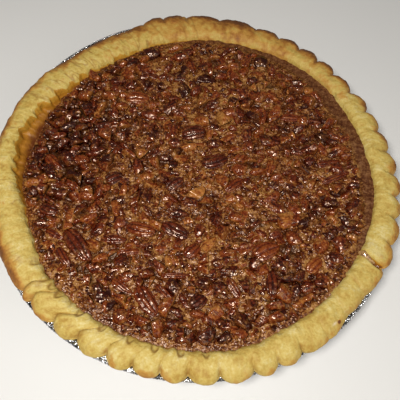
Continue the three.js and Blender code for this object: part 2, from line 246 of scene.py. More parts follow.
NUT_MARGIN = 4.5
TOPPING_TOP = 41.9  # the height that the scattered pieces are kept under, before they are tilted
TONE = 0.34  # how light the pieces are, from dark maroon at 0 to golden brown at 1, and how much that varies
TONE_SPREAD = 0.2
TONE_PATCHES = ((5, -5, 55, 0.16), (-84, 14, 24, -0.2))  # x, y, reach and how much lighter it is there
HEAP_REACH = 110
GAP_START = 1.1  # how far below the heap's general height the painted shade and syrup in its gaps start, and where they are darkest
GAP_END = 3.4
RANDOM_SEED = 20
FOAM_RISE = 1  # how far the baked foam between the nuts stands over the filling's level
BARE_BAND = ((0, 6.5), (30, 8), (52, 6), (75, 3), (110, 0.5), (150, 0), (230, 0), (325, 0.2), (340, 2.5))
EDGE_BARENESS = 0.55  # how plain the custard is at the very edge where it has no bare band
EDGE_TUCK = 1.3  # how far the custard runs in under the crust's ragged inner edge
WARM_SHINE = (1, 0.75, 0.6, 1)  # the colour of the syrup glaze's highlights

# ---------------------------------------------------------------- helpers


def lerp(start, end, share):
    return start + (end - start) * share


def smooth(share):
    """An eased share, kept between 0 and 1."""
    share = min(1, max(0, share))
    return share * share * (3 - 2 * share)


def ramp(value, start, end):
    """0 at start, eased to 1 at end."""
    return smooth((value - start) / (end - start))


def around(pairs, azimuth):
    """The value at an azimuth, eased from each listed azimuth to the next and on round to the first."""
    start = pairs[0][0]
    turned = start + (azimuth - start) % 360
    closed = (*pairs, (start + 360, pairs[0][1]))
    for (from_at, from_value), (to_at, to_value) in zip(closed, closed[1:]):
        if turned <= to_at:
            return lerp(from_value, to_value, smooth((turned - from_at) / (to_at - from_at)))
    return pairs[0][1]


def polar(radius, turn):
    """X and Y at a radius, turned by an angle in radians."""
    return radius * math.cos(turn), radius * math.sin(turn)


def azimuth_of(position):
    return math.degrees(math.atan2(position.y, position.x))


def nearest(values, azimuth):
    """The value nearest to an azimuth, of values at even steps all the way round."""
    return values[round(azimuth * len(values) / 360) % len(values)]


def stretch(start, end, steps):
    """The points of a straight stretch, after its start."""
    shares = [step / steps for step in range(1, steps + 1)]
    return [(lerp(start[0], end[0], share), lerp(start[1], end[1], share)) for share in shares]


def random_source(seed):
    """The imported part's repeatable random numbers from 0 to 1."""
    state = seed

    def draw():
        nonlocal state
        state = (state + 0x6D2B79F5) & 0xFFFFFFFF
        mixed = ((state ^ (state >> 15)) * (1 | state)) & 0xFFFFFFFF
        mixed = ((mixed + (mixed ^ (mixed >> 7)) * (61 | mixed)) & 0xFFFFFFFF) ^ mixed
        return (mixed ^ (mixed >> 14)) / 4294967296

    return draw


def curve_through(points, steps):
    """A smooth open curve through 2-D points, with that many steps between each two."""
    ends = [points[0], *points, points[-1]]
    curve = []
    for before, start, end, after in zip(ends, ends[1:], ends[2:], ends[3:]):
        for step in range(steps):
            share = step / steps
            curve.append(tuple(
                0.5 * (2 * b + (c - a) * share + (2 * a - 5 * b + 4 * c - d) * share**2
                       + (3 * b - a - 3 * c + d) * share**3)
                for a, b, c, d in zip(before, start, end, after)
            ))
    return [*curve, points[-1]]


def rough(position, size, octaves=3):
    """Uneven relief from about -1 to 1, with features of that size."""
    return noise.fractal(Vector(position) / size, 1, 2, octaves)


def lathe(profile, steps):
    """A grid wrapped about +Z along (radius, height) pairs, because a spin of over a thousand steps is slow.

    Its layer `place` holds each vertex's place in the profile.
    """
    bm = bmesh.new()
    last = len(profile) - 1
    bmesh.ops.create_grid(bm, x_segments=steps, y_segments=last, size=0.5)
    place = bm.verts.layers.int.new("place")
    joins = []
    for vert in bm.verts:
        turn = (vert.co.x + 0.5) * math.tau
        vert[place] = round((vert.co.y + 0.5) * last)
        radius, height = profile[vert[place]]
        if abs(vert.co.x) > 0.4999 or radius == 0:
            joins.append(vert)
        vert.co = (*polar(radius, turn), height)
    bmesh.ops.remove_doubles(bm, verts=joins, dist=0.001)
    bmesh.ops.recalc_face_normals(bm, faces=bm.faces)
    return bm, place


def sphere_along_x(sides, steps):
    """A sphere of radius 1, with its poles on the X axis."""
    bm = bmesh.new()
    bmesh.ops.create_uvsphere(bm, u_segments=sides, v_segments=steps, radius=1)
    bmesh.ops.rotate(bm, verts=bm.verts, matrix=Matrix.Rotation(math.radians(90), 3, "Y"))
    return bm


def as_mesh(bm, name):
    """Turns a bmesh into a mesh and frees it."""
    mesh = bpy.data.meshes.new(name)
    bm.to_mesh(mesh)
    bm.free()
    return mesh


def in_scene(name, data):
    """A new object, linked to the scene."""
    made = bpy.data.objects.new(name, data)
    scene.collection.objects.link(made)
    return made


def finished(bm, name, material, slot, *nodes):
    """Makes a bmesh in millimetres into a named piece of the pie that stands for the given nodes."""
    bmesh.ops.transform(bm, matrix=PLACE, verts=bm.verts)
    for face in bm.faces:
        face.smooth = True
    piece = in_scene(name, as_mesh(bm, name))
    piece.data.materials.append(material)
    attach(piece, "root")
    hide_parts(*nodes)
    return piece


# ---------------------------------------------------------------- materials


class Value:
    """A shader socket. Arithmetic on it adds the Math nodes."""

    def __init__(self, finish, socket):
        self.finish = finish
        self.socket = socket

    def maths(self, operation, first, second):
        return self.finish.node("ShaderNodeMath", {"operation": operation}, {0: first, 1: second})

    def __add__(self, other):
        return self.maths("ADD", self, other)

    def __radd__(self, other):
        return self.maths("ADD", other, self)

    def __sub__(self, other):
        return self.maths("SUBTRACT", self, other)

    def __rsub__(self, other):
        return self.maths("SUBTRACT", other, self)

    def __mul__(self, other):
        return self.maths("MULTIPLY", self, other)


class Finish:
    """A material and the nodes that make it."""

    def __init__(self, name, **constants):
        self.material = bpy.data.materials.new(name)
        self.material.use_nodes = True
        self.tree = self.material.node_tree
        self.shader = self.tree.nodes["Principled BSDF"]
        for socket, value in constants.items():
            self.shader.inputs[socket.replace("_", " ")].default_value = value
        self.place = self.node("ShaderNodeTexCoord", output="Object")

    def join(self, socket, value):
        if isinstance(value, Value):
            self.tree.links.new(value.socket, socket)
        elif isinstance(value, tuple) and len(value) == 3 and socket.type == "RGBA":
            socket.default_value = (*value, 1)
        else:
            socket.default_value = value

    def node(self, kind, settings=None, sockets=None, output=0):
        """Any node: its settings first, then the values or links of its sockets."""
        made = self.tree.nodes.new(kind)
        for name, value in (settings or {}).items():
            if name == "stops":
                self.set_stops(made.color_ramp, value)
            else:
                setattr(made, name, value)
        for name, value in (sockets or {}).items():
            self.join(made.inputs[name], value)
        return Value(self, made.outputs[output])

    @staticmethod
    def set_stops(color_ramp, stops):
        while len(color_ramp.elements) < len(stops):
            color_ramp.elements.new(1)
        for element, (position, colour) in zip(color_ramp.elements, stops):
            element.position = position
            element.color = (*colour, 1)

    def attribute(self, name, output="Fac"):
        return self.node("ShaderNodeAttribute", {"attribute_name": name}, output=output)

    def noise(self, size, detail=3, roughness=0.5, vector=None, distortion=0):
        """Soft noise from 0 to 1 with features of a size in metres."""
        sockets = {
            "Vector": vector or self.place,
            "Scale": 1 / size,
            "Detail": detail,
            "Roughness": roughness,
            "Distortion": distortion,
        }
        return self.node("ShaderNodeTexNoise", {}, sockets)

    def between(self, value, low, high):
        """0 below low, eased to 1 above high."""
        settings = {"interpolation_type": "SMOOTHSTEP"}
        return self.node("ShaderNodeMapRange", settings, {"Value": value, "From Min": low, "From Max": high})

    def colours(self, value, *stops):
        return self.node("ShaderNodeValToRGB", {"stops": stops}, {"Fac": value})

    def mix(self, share, first, second):
        """One colour turned to another by a share from 0 to 1."""
        return self.node("ShaderNodeMix", {"data_type": "RGBA"}, {0: share, 6: first, 7: second}, output=2)

    def bump(self, height, distance, strength=1):
        return self.node("ShaderNodeBump", {}, {"Height": height, "Distance": distance, "Strength": strength})

    def finish(self, **sockets):
        for name, value in sockets.items():
            self.join(self.shader.inputs[name.replace("_", " ")], value)
        return self.material


def pressed_foil():
    """Foil with painted shade in its creases, closest together and darkest round its crimped edge."""
    foil = Finish("pressed_foil", Metallic=1.0)
    creased = foil.noise(0.0026, detail=3, roughness=0.6, distortion=1.5)
    cloudy = foil.noise(0.02, detail=2)
    height = foil.node("ShaderNodeSeparateXYZ", {}, {0: foil.place}, output=2)
    # The creases' dark colours are painted shade.
    wall = foil.colours(
        creased * 0.7 + cloudy * 0.3,
        (0.36, (0.30, 0.30, 0.305)),
        (0.46, (0.66, 0.66, 0.67)),
        (0.6, (0.88, 0.88, 0.89)),
    )
    # Round the edge the painted shade is darker still.
    edge = foil.colours(
        creased,
        (0.42, (0.06, 0.06, 0.062)),
        (0.5, (0.36, 0.36, 0.37)),
        (0.58, (0.86, 0.86, 0.87)),
    )
    at_edge = foil.between(height, (TIN_DEPTH - 3.5) * MM, (TIN_DEPTH - 1.5) * MM)
    colour = foil.mix(at_edge, wall, edge)
    return foil.finish(
        Base_Color=colour,
        Roughness=foil.between(creased, 0.2, 0.9) * 0.14 + 0.14,
        Normal=foil.bump(creased, 0.0016, 0.8),
    )


def baked_pastry():
    pastry = Finish("baked_pastry", Specular_IOR_Level=0.3, Coat_Roughness=0.15)
    browning = pastry.attribute("browning")
    glaze = pastry.attribute("glaze")
    crease = pastry.attribute("crease")
    strand = pastry.attribute("strand", "Vector")
    cloudy = pastry.noise(0.014, detail=4, roughness=0.55)
    mottled = pastry.noise(0.0042, detail=4, roughness=0.6)
    flaky = pastry.noise(0.0012, detail=3, roughness=0.6)
    streaky = pastry.noise(0.0026, detail=3, vector=strand)

    dough = pastry.colours(
        0.5 + (cloudy - 0.5) * 0.9 + (streaky - 0.5) * 0.5 + (mottled - 0.5) * 0.7 + (flaky - 0.5) * 0.6,
        (0.22, (0.44, 0.262, 0.050)),
        (0.42, (0.545, 0.380, 0.090)),
        (0.56, (0.600, 0.450, 0.125)),
        (0.78, (0.700, 0.580, 0.260)),
    )
    baked = pastry.between(browning + (cloudy - 0.5) * 1.1 + (mottled - 0.5) * 0.8, 0.12, 1.05)
    toasted = pastry.colours(
        baked,
        (0.0, (0.575, 0.400, 0.100)),
        (0.4, (0.500, 0.265, 0.052)),
        (0.7, (0.350, 0.140, 0.024)),
        (1.0, (0.150, 0.050, 0.012)),
    )
    surface = pastry.mix(pastry.between(baked, 0.02, 0.35), dough, toasted)
    # Painted shade, darkest deep in the rim's folds, wrinkles and pinch marks.
    surface = pastry.mix(crease * 0.7, surface, (0.26, 0.110, 0.018))
    surface = pastry.mix(pastry.attribute("chipped"), surface, (0.84, 0.70, 0.46))
    syrup = pastry.colours(
        glaze + (mottled - 0.5) * 0.5 + (streaky - 0.5) * 0.4,
        (0.2, (0.52, 0.270, 0.034)),
        (0.5, (0.420, 0.175, 0.016)),
        (0.9, (0.130, 0.032, 0.005)),
    )
    soaked = pastry.between(glaze + (mottled - 0.5) * 0.2, 0.1, 0.2)
    surface = pastry.mix(soaked, surface, syrup)
    relief = flaky * 0.3 + mottled * 0.7
    return pastry.finish(
        Base_Color=surface,
        Roughness=0.6 - soaked * 0.3,
        Coat_Weight=soaked * 0.4,
        Normal=pastry.bump(relief, 0.0012, 0.7),
    )


def baked_custard(finish, mottled, fine):
    """Custard baked to a foamy crust: mottled red-brown to gold, with pale specks, part bubbles and part
    painted glints.
    """
    cloudy = finish.noise(0.012, detail=3)
    golden = finish.noise(0.045, detail=1)
    foam = finish.colours(
        0.5 + (golden - 0.5) * 0.5 + (cloudy - 0.5) * 0.8 + (mottled - 0.5) * 1.2 + (fine - 0.5) * 1.7,
        (0.2, (0.040, 0.005, 0.001)),
        (0.42, (0.112, 0.026, 0.004)),
        (0.58, (0.200, 0.064, 0.012)),
        (0.8, (0.370, 0.175, 0.045)),
    )
    # Pale specks: partly bubbles in the foam, partly painted glints.
    bubbles_and_glints = finish.between(finish.noise(0.0010, detail=1), 0.6, 0.72)
    return finish.mix(bubbles_and_glints * 0.4, foam, (0.48, 0.30, 0.15))


def shade_and_syrup_in_gaps(finish, colour, gap, mottled):
    """Darkens a colour in the topping's gaps: painted shade between the pieces, and the syrup pooled there.
    """
    sunk = finish.between(gap + (mottled - 0.5) * 0.7, 0.1, 0.9)
    return finish.mix(sunk * 0.85, colour, (0.026, 0.004, 0.001))


def set_custard():
    custard = Finish("set_custard", Specular_IOR_Level=0.6, Specular_Tint=WARM_SHINE)
    mottled = custard.noise(0.003, detail=4, roughness=0.65)
    fine = custard.noise(0.0011, detail=2, roughness=0.6)
    bare = custard.attribute("bare")
    plain = custard.colours(
        0.5 + (mottled - 0.5) * 1.1 + (fine - 0.5) * 0.9,
        (0.25, (0.056, 0.012, 0.003)),
        (0.5, (0.112, 0.037, 0.011)),
        (0.8, (0.220, 0.095, 0.036)),
    )
    colour = custard.mix(bare * 0.9, baked_custard(custard, mottled, fine), plain)
    # Painted shade, and syrup, darken the custard in the topping's gaps.
    colour = shade_and_syrup_in_gaps(custard, colour, custard.attribute("gap"), mottled)
    return custard.finish(
        Base_Color=colour,
        Roughness=custard.between(mottled, 0.35, 0.65) * 0.25 + 0.2 + bare * 0.15,
        Normal=custard.bump(custard.noise(0.0024, detail=1) * (1 - bare * 0.6), 0.0016, 1),
    )


def glazed_nut(name, crusting, broken):
    """Glazed pecan, with baked custard stuck to it in patches. Its relief is coarse, for clear highlights.

    Crusting says how thickly the custard sticks, and broken how strongly colour and relief are broken up.
    """
    nut = Finish(name, Specular_IOR_Level=0.8, Specular_Tint=WARM_SHINE)
    tone = nut.attribute("tone")
    cut = nut.attribute("cut")
    groove = nut.attribute("groove")
    cloudy = nut.noise(0.006, detail=2)
    mottled = nut.noise(0.0024, detail=4, roughness=0.65)
    fine = nut.noise(0.0011, detail=2, roughness=0.6)
    # The skin is darker in its grooves: painted shade.
    skin = nut.colours(
        tone + (cloudy - 0.5) * 0.5 + ((mottled - 0.5) + (fine - 0.5) * 1.5) * broken - groove * 0.4,
        (0.0, (0.022, 0.002, 0.001)),
        (0.2, (0.072, 0.008, 0.002)),
        (0.42, (0.150, 0.022, 0.004)),
        (0.64, (0.250, 0.060, 0.010)),
        (0.9, (0.400, 0.150, 0.030)),
    )
    flesh = nut.colours(
        tone + (mottled - 0.5) * 1.4 + (fine - 0.5) * 1.6,
        (0.15, (0.130, 0.034, 0.007)),
        (0.5, (0.260, 0.088, 0.014)),
        (0.85, (0.430, 0.200, 0.050)),
    )
    crusted = nut.between(nut.noise(0.0040, detail=4, roughness=0.65), 0.51, 0.61)
    colour = nut.mix(nut.between(cut, 0.35, 0.75) * 0.6, skin, flesh)
    colour = nut.mix(crusted * crusting, colour, baked_custard(nut, mottled, fine))
    # Painted shade, and syrup, darken the nuts in the topping's gaps.
    colour = shade_and_syrup_in_gaps(nut, colour, nut.attribute("gap"), mottled)
    return nut.finish(
        Base_Color=colour,
        Roughness=nut.between(mottled, 0.35, 0.65) * 0.2 + 0.15,
        Normal=nut.bump(nut.noise(0.0030, detail=1), 0.0016, broken),
    )


# ---------------------------------------------------------------- the tin


def make_tin():
    """Pressed foil: a bead curled down round its edge, fine crimps there and broader flutes in its wall."""
    flange_end = TIN_RIM - TIN_BEAD
    wall_foot = (TIN_BASE + 1.5, 1.2)
    wall = stretch(wall_foot, (TIN_MOUTH + TIN_SHEET, TIN_DEPTH - TIN_SHEET), 10)
    bead_radius = TIN_BEAD / 2
    bead_height = TIN_DEPTH - bead_radius
    bead = [
        (flange_end + bead_radius * (1 - math.cos(turn)), bead_height + bead_radius * math.sin(turn))
        for turn in map(math.radians, range(90, 241, 15))
    ]
    profile = [
        (0, 0), (60, 0), (TIN_BASE - 0.8, 0), (TIN_BASE + 0.6, 0.3), wall_foot, *wall,
        (flange_end, TIN_DEPTH - TIN_SHEET), (flange_end + 0.3, TIN_DEPTH - TIN_BEAD + 0.3),
        *reversed(bead), (flange_end, TIN_DEPTH), (TIN_MOUTH, TIN_DEPTH),
        (TIN_BASE + 0.9, 1.8), (TIN_BASE - 1, TIN_SHEET), (0, TIN_SHEET),
    ]
    crimps = round(math.tau * TIN_RIM / CRIMP_PITCH)
    flutes = round(crimps / CRIMPS_TO_A_FLUTE)
    bm, _ = lathe(profile, crimps * CRIMP_STEPS)
    for vert in bm.verts:
        radius = vert.co.xy.length
        if radius < TIN_BASE:
            continue
        turn = math.atan2(vert.co.y, vert.co.x)
        azimuth = math.degrees(turn)
        uneven = 0.75 + 0.35 * rough((*polar(9, turn), 0), 1, 2)
        crimp = math.sin(turn * crimps) * uneven
        outward = vert.co.normalized()
        outward.z = 0
        if radius > TIN_MOUTH + 1:
            reach = ramp(radius, TIN_MOUTH + 1, flange_end)
            vert.co.z += 0.2 * crimp * reach
            moved = 0.22 * crimp * ramp(radius, flange_end, TIN_RIM) - 0.2 + around(RIM_BEND, azimuth) * reach
            vert.co += outward * moved
            vert.co.z += around(RIM_LIFT, azimuth) * ramp(radius, flange_end - 1.5, TIN_RIM)
        else:
            flute = math.sin(turn * flutes) * uneven
            vert.co += outward * (0.4 * flute * ramp(vert.co.z, 2, 28) - 0.1)
    return finished(bm, "tin_of_pressed_foil", pressed_foil(), "foil", "foil_tin")


# ---------------------------------------------------------------- the crust

PLEAT_STARTS = list(itertools.accumulate(PLEATS, initial=FIRST_PLEAT))


def station_at(azimuth):
    """What the rim is like at an azimuth, and where that lies in its pleat."""
    turned = FIRST_PLEAT + (azimuth - FIRST_PLEAT) % 360
    number = min(bisect.bisect_right(PLEAT_STARTS, turned) - 1, len(PLEATS) - 1)
    width = PLEATS[number]
    in_pleat = (turned - PLEAT_STARTS[number]) / width
    past_notch = in_pleat * width if in_pleat < 0.5 else (in_pleat - 1) * width
    return SimpleNamespace(
        azimuth=turned,
        in_pleat=in_pleat,
        past_notch=past_notch,
        from_notch=math.radians(abs(past_notch)) * NOTCH_LINE,
        width=width,
        split=abs((turned - FIRST_PLEAT + 180) % 360 - 180) < width / 2,
        outer=around(OUTER_RADIUS, turned) - around(SCALLOP_DEPTH, turned) * notch(in_pleat),
        overlap=around(OVERLAP_STEP, turned) * (0.5 - in_pleat),
        **{name: around(pairs, turned) for name, pairs in ALONG_THE_RIM.items()},
    )


def notch(in_pleat):
    """1 at the notch between two pleats, falling to nothing on the pleat's back."""
    return 1 - max(0, math.sin(math.pi * in_pleat)) ** 0.6


def crease_line(station, across):
    """How deep in the crease between two pleats a spot lies, up to 1. Only a fold has it right across."""
    reach = max(ramp(across, 0.62, 0.9), min(0.8, station.fold * 0.5))
    return math.exp(-((station.from_notch / CREASE_WIDTH) ** 2)) * reach


def crack_line(station):
    """How deep in the rim's one crack a station lies, from 0 to 1."""
    return math.exp(-((station.from_notch / CRACK_WIDTH) ** 2)) if station.split else 0


def leaned(station, across):
    """How far round a pleat's line has moved at a place across the rim: mostly in its inner half."""
    return station.lean * ramp(1 - across, 0.22, 0.9)


def pinch_mark(station, across):
    """How far from the middle of a pinch mark beside the filling a spot lies: 1 on its edge."""
    width = station.width
    from_mark = station.past_notch + leaned(station, across) - PINCH_OFFSET
    sideways = math.radians((from_mark + width / 2) % width - width / 2) * PINCH_LINE
    return math.hypot(sideways / PINCH_SIZE[0], across * (station.outer - EDGE_LINE) / PINCH_SIZE[1])


def torn_back(azimuth):
    """How far the crust's inner edge is torn back: slanted teeth from 0 to about 1."""
    along = math.radians(azimuth % 360) * EDGE_LINE / TEAR_PITCH
    along += 0.9 * noise.noise(Vector((along * 0.7, 3.1, 0)))
    tooth = along % 1
    depth = 0.7 + 0.9 * noise.noise(Vector((math.floor(along) * 1.73, 0.4, 2.2)))
    return depth * min(tooth / 0.65, (1 - tooth) / 0.35)


def near(spot, size, azimuth, radius):
    """1 at a small spot on the rim, falling away over its size: degrees round and millimetres out."""
    return math.exp(-((azimuth - spot[0]) / size[0]) ** 2 - ((radius - spot[1]) / size[1]) ** 2)


def on_crest_line(station, height):
    """A spot for the rim's noise, so that its lines lean with the pleats."""
    return Vector((*polar(CREST_LINE, math.radians(station.azimuth)), height))


def wrinkle_line(station, across):
    """How deep in one of the fine cross wrinkles a spot lies, from 0 to 1."""
    spot = on_crest_line(station, across * 6)
    uneven = rough(spot, 4.2, 2) + 0.35 * rough(spot, 11, 1)
    return math.exp(-((uneven / 0.09) ** 2)) * smooth(0.6 + 1.6 * noise.noise(spot / 6))


def rim_point(station, across, rise, wrinkle):
    """Where a station's line meets the rim's section, and how high the crest is there."""
    azimuth = station.azimuth + leaned(station, across)
    folded = station.fold * (0.5 - station.in_pleat)
    ragged = station.ragged * rough((math.radians(azimuth) * EDGE_LINE, 0, rise * 2), 4.5) - 0.9 * folded
    ragged += station.torn * (torn_back(azimuth) - 0.35)
    inner = around(INNER_RADIUS, azimuth) + ragged * (1 - ramp(across, 0, 0.3))
    radius = lerp(inner, station.outer, across)
    crest = around(CREST_HEIGHT, azimuth)
    on_top = math.sin(math.pi * min(across, 0.9)) if rise > 0.5 else 0
    fading = ramp(across, 0.4, 0.9)
    crease = station.crease * fading * notch(station.in_pleat)
    crease += 0.5 * station.crease * crease_line(station, across) + station.ridges * wrinkle
    crease += CRACK_DEPTH * crack_line(station)
    pinch = station.pinch * (1 - ramp(pinch_mark(station, across), 0.7, 1.05)) if rise > 0.4 else 0
    height = lerp(RIM_BED, crest, rise) + on_top * (station.overlap * fading + folded - crease) - pinch
    return azimuth, radius, height, crest


def rim_browning(station, across):
    """How browned the rim is: most along its outer edge, and there on the pleats' backs."""
    swell = 1.25 - 0.55 * notch(station.in_pleat)
    edge_start = 0.58 - 0.5 * station.crest_browning
    return station.edge_browning * ramp(across, edge_start, 1) * swell + station.crest_browning


def edge_glaze(azimuth, below_crest):
    """How soaked with syrup the crust's inner edge is: more where it lies far below its crest."""
    return max(around(SOAKED_EDGE, azimuth), 0.6 * ramp(below_crest, 3, 7))


def rim_glaze(station, azimuth, across, rise, below_crest, spot):
    """How soaked with syrup the rim is, beside the filling and in the crack."""
    reach = around(SOAKED_REACH, azimuth)
    soaked_to = max(0.02, reach + 0.12 * rough(spot, 4)) + 0.045 * station.torn * torn_back(azimuth)
    soaked_in = 1 - ramp(across, soaked_to * min(0.6, station.torn), soaked_to)
    in_crack = 0.9 * ramp(crack_line(station), 0.25, 0.8) * ramp(rise, 0.4, 0.7)
    return max(soaked_in * edge_glaze(azimuth, below_crest), in_crack)


def rim_crease_shade(station, across, rise, wrinkle, spot):
    """How deep in a fold, a wrinkle or the edge of a pinch mark a spot lies, from 0 to 1: its painted shade.
    """
    folded = crease_line(station, across) * min(1, max(station.crease, station.fold) / 1.3)
    lined = min(1, station.ridges / 0.3) * wrinkle
    mark = pinch_mark(station, across)
    dent = max(0, 1 - abs(mark - 0.9) / 0.26) * ramp(across, 0.05, 0.2) + 0.25 * (mark < 0.9)
    dent *= min(1, station.pinch) * (0.75 + rough(spot, 2.5))
    return min(1, max(0, folded + lined + dent)) * ramp(rise, 0.4, 0.8)


def shape_rim(vert, layers, station, across, rise):
    """Lifts a vertex to the rim and marks how it is baked. Gives back its azimuth and radius."""
    wrinkle = wrinkle_line(station, across) if rise > 0.3 else 0
    azimuth, radius, vert.co.z, crest = rim_point(station, across, rise, wrinkle)
    spot = on_crest_line(station, across * 3)
    vert[layers.strand] = spot * MM
    vert[layers.browning] = rim_browning(station, across)
    vert[layers.browning] += 1.7 * near(BURN, BURN_SIZE, azimuth, radius)
    vert[layers.chipped] = near(CHIP, CHIP_SIZE, azimuth, radius)
    vert[layers.glaze] = rim_glaze(station, azimuth, across, rise, crest - vert.co.z, spot)
    # The layer crease holds the painted shade of the rim's folds, wrinkles and pinch marks.
    vert[layers.crease] = rim_crease_shade(station, across, rise, wrinkle, spot)
    return azimuth, radius


def shape_face(vert, layers, station, share):
    """Does the same for a vertex of the face beside the filling, at a share of the way up to the rim."""
    azimuth, edge, edge_height, crest = rim_point(station, 0, RIM_SECTION[0][1], 0)
    vert.co.z = lerp(WALL_TOP, edge_height, share)
    vert[layers.glaze] = lerp(0.95, edge_glaze(azimuth, crest - edge_height), ramp(share, 0.15, 0.85))
    return azimuth, lerp(around(WALL_RADIUS, azimuth), edge, share)


def roughen(bm, place, first_rim):
    """Gives the rim the uneven surface of pastry, lumpiest where its crest is browned."""
    bm.normal_update()
    for vert in bm.verts:
        if vert[place] >= first_rim and vert.co.z > RIM_BED + 0.4:
            spot = vert.co.copy()
            lumpy = 0.24 + 0.4 * around(CREST_BROWNING, azimuth_of(spot))
            relief = 0.5 * rough(spot, 9) + lumpy * rough(spot, 3.8) + 0.06 * rough(spot, 1.3, 1)
            vert.co += vert.normal * relief


def make_crust():
    """The pastry shell: floor, wall and pinched rim spun in one section, then moved to the real outline."""
    section = curve_through(RIM_SECTION, SECTION_STEPS)
    floor = [(0, FLOOR_TOP), (FLOOR_RADIUS, FLOOR_TOP)]
    wall = stretch(floor[-1], SPUN_WALL, WALL_STEPS)
    face = stretch(SPUN_WALL, SPUN_FACE, FACE_STEPS)[:-1]
    rim = [
        (lerp(SPUN_FACE[0], SPUN_RIM[0], across), lerp(RIM_BED, SPUN_RIM[1], rise))
        for across, rise in section
    ]
    under = [
        (TIN_MOUTH - SHELL_CLEARANCE, RIM_BED - 0.1),
        (TIN_BASE - TIN_SHEET - SHELL_CLEARANCE, FLOOR_UNDER),
        (0, FLOOR_UNDER),
    ]
    bm, place = lathe([*floor, *wall, *face, *rim, *under], CRUST_STEPS)
    marks = {name: bm.verts.layers.float.new(name) for name in ("browning", "glaze", "crease", "chipped")}
    layers = SimpleNamespace(**marks, strand=bm.verts.layers.float_vector.new("strand"))
    stations = [station_at(index * 360 / CRUST_STEPS) for index in range(CRUST_STEPS)]
    first_wall = len(floor)
    first_face = first_wall + len(wall)
    first_rim = first_face + len(face)
    for vert in bm.verts:
        station = nearest(stations, azimuth_of(vert.co))
        azimuth = station.azimuth
        radius = vert.co.xy.length
        index = vert[place]
        if first_rim <= index < first_rim + len(rim):
            azimuth, radius = shape_rim(vert, layers, station, *section[index - first_rim])
        elif first_face <= index < first_rim:
            azimuth, radius = shape_face(vert, layers, station, (index - first_face + 1) / FACE_STEPS)
        elif first_wall <= index < first_face:
            azimuth += station.lean
            share = (index - first_wall + 1) / WALL_STEPS
            radius = lerp(FLOOR_RADIUS, around(WALL_RADIUS, azimuth), share)
            vert[layers.glaze] = 1
        vert.co.xy = polar(radius, math.radians(azimuth))
    roughen(bm, place, first_rim)
    return finished(bm, "pinched_crust", baked_pastry(), "pastry", "crust")


def boiled_syrup():
    """Clear amber syrup, with ripples that catch the light."""
    syrup = Finish("boiled_syrup", Specular_IOR_Level=0.4, Coat_Weight=1.0, Coat_Roughness=0.08)
    mottled = syrup.noise(0.0016, detail=2)
    colour = syrup.colours(mottled, (0.38, (0.16, 0.055, 0.010)), (0.62, (0.50, 0.300, 0.110)))
    return syrup.finish(
        Base_Color=colour,
        Roughness=mottled * 0.2 + 0.25,
        Normal=syrup.bump(syrup.noise(0.002, detail=1), 0.0007, 1),
    )


def make_crack_syrup():
    """The syrup that has run out along the rim's crack: a thin leaning strand, fullest near the filling."""
    bm = sphere_along_x(32, 48)
    station = station_at(FIRST_PLEAT)
    for vert in bm.verts:
        x, y, z = vert.co
        across = lerp(CRACK_SYRUP[0], CRACK_SYRUP[1], (x + 1) / 2)
        azimuth, radius, _, crest = rim_point(station, across, 1, 0)
        fullness = lerp(1.25, 0.6, ramp(x, -0.7, 0.3)) * (1 + 0.2 * rough((x * 3, 0, 0), 1, 1))
        turn = math.radians(azimuth)
        sideways = SYRUP_WIDTH * fullness * y
        vert.co.x = radius * math.cos(turn) - sideways * math.sin(turn)
        vert.co.y = radius * math.sin(turn) + sideways * math.cos(turn)
        middle = crest - SYRUP_SUNK + 0.9 * ramp(x, -1, -0.1) - 0.8 * ramp(x, -0.1, 1) + 0.4 * sideways
        vert.co.z = middle + SYRUP_HEIGHT * fullness * z + 0.1 * rough((x * 6, y, z), 1, 1)
    bmesh.ops.recalc_face_normals(bm, faces=bm.faces)
    return finished(bm, "syrup_in_the_crack", boiled_syrup(), "pastry", "crust")


def filling_edge(azimuth):
    """The radius at which the filling's surface meets the crust."""
    roughly = inner_face(azimuth, FILLING_LEVEL)
    return inner_face(azimuth, surface_height(*polar(roughly, math.radians(azimuth))))


def inner_face(azimuth, height):
    """The radius of the crust's inner face at a height."""
    wall = around(WALL_RADIUS, azimuth)
    if height <= WALL_TOP:
        return lerp(FLOOR_RADIUS, wall, (height - FLOOR_TOP) / (WALL_TOP - FLOOR_TOP))
    edge_height = lerp(RIM_BED, around(CREST_HEIGHT, azimuth), RIM_SECTION[0][1])
    share = min(1, (height - WALL_TOP) / (edge_height - WALL_TOP))
    return lerp(wall, around(INNER_RADIUS, azimuth), share)


# ---------------------------------------------------------------- the filling


def surface_height(x, y):
    """The filling's height before any nuts: nearly level, a little domed, sunk beside the left wall."""
    outward = min(1, math.hypot(x, y) / FILLING_REACH)
    domed = DOME * math.cos(outward * math.pi / 2)
    away = (Vector((x, y)) - HOLLOW).length / HOLLOW_REACH
    rippled = RIPPLE * math.sin(x * 0.11 + 1) * math.cos(y * 0.13 - 0.5)
    return FILLING_LEVEL + domed - HOLLOW_DEPTH * math.exp(-away * away) + rippled


